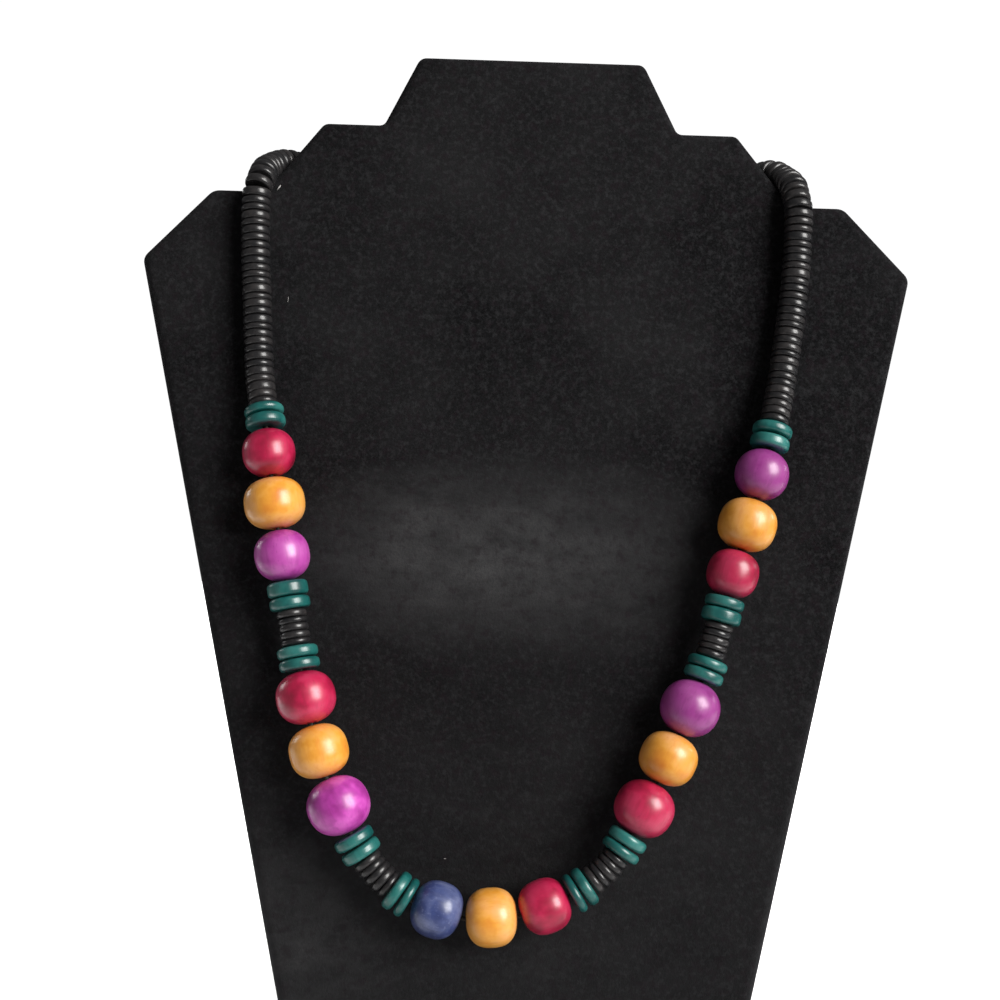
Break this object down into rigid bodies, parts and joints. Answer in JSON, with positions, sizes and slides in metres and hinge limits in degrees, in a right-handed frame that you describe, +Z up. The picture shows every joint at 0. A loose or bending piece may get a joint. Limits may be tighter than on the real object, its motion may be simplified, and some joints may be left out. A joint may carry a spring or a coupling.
{
  "type": "beaded necklace on display stand",
  "caption": "Loop of round coloured wooden beads, teal discs and small black discs, hung on a stepped black velvet board that leans back on an easel leg.",
  "frame": {"origin": "middle of the footprint on the table, at the bottom centre of the whole object's box", "axes": "+Z up; the board's front and the beads face -Y; +X to the right of someone who looks at the beads"},
  "size_m": [0.2214, 0.1176, 0.308],
  "materials": {
    "velvet": "matt black velvet pile with a little lint",
    "card": "matt black covered card",
    "brass": "plain polished brass",
    "red_wood": "crimson dyed wood, satin lacquer",
    "orange_wood": "orange dyed wood, satin lacquer",
    "purple_wood": "magenta violet dyed wood, satin lacquer",
    "blue_wood": "slate blue dyed wood, satin lacquer",
    "green_wood": "teal dyed wood, satin lacquer",
    "black_discs": "polished black coconut shell",
    "thread": "waxed black cord"
  },
  "bodies": {
    "root": {"stand_board": "velvet", "stand_leg": "card", "clasp": "brass", "red_bead_1": "red_wood", "red_bead_2": "red_wood", "red_bead_3": "red_wood", "red_bead_4": "red_wood", "red_bead_5": "red_wood", "orange_bead_1": "orange_wood", "orange_bead_2": "orange_wood", "orange_bead_3": "orange_wood", "orange_bead_4": "orange_wood", "orange_bead_5": "orange_wood", "purple_bead_1": "purple_wood", "purple_bead_2": "purple_wood", "purple_bead_3": "purple_wood", "purple_bead_4": "purple_wood", "blue_bead_1": "blue_wood", "green_disc_1": "green_wood", "green_disc_2": "green_wood", "green_disc_3": "green_wood", "green_disc_4": "green_wood", "green_disc_5": "green_wood", "green_disc_6": "green_wood", "green_disc_7": "green_wood", "green_disc_8": "green_wood", "green_disc_9": "green_wood", "green_disc_10": "green_wood", "green_disc_11": "green_wood", "green_disc_12": "green_wood", "green_disc_13": "green_wood", "green_disc_14": "green_wood", "green_disc_15": "green_wood", "green_disc_16": "green_wood", "green_disc_17": "green_wood", "green_disc_18": "green_wood", "green_disc_19": "green_wood", "green_disc_20": "green_wood", "black_discs_1": "black_discs", "black_discs_2": "black_discs", "black_discs_3": "black_discs", "black_discs_4": "black_discs", "black_discs_left_front": "black_discs", "black_discs_left_bend": "black_discs", "black_discs_left_back": "black_discs", "black_discs_right_front": "black_discs", "black_discs_right_bend": "black_discs", "black_discs_right_back": "black_discs", "thread_1": "thread", "thread_2": "thread", "thread_3": "thread", "thread_4": "thread", "thread_5": "thread"}
  },
  "joints": []
}
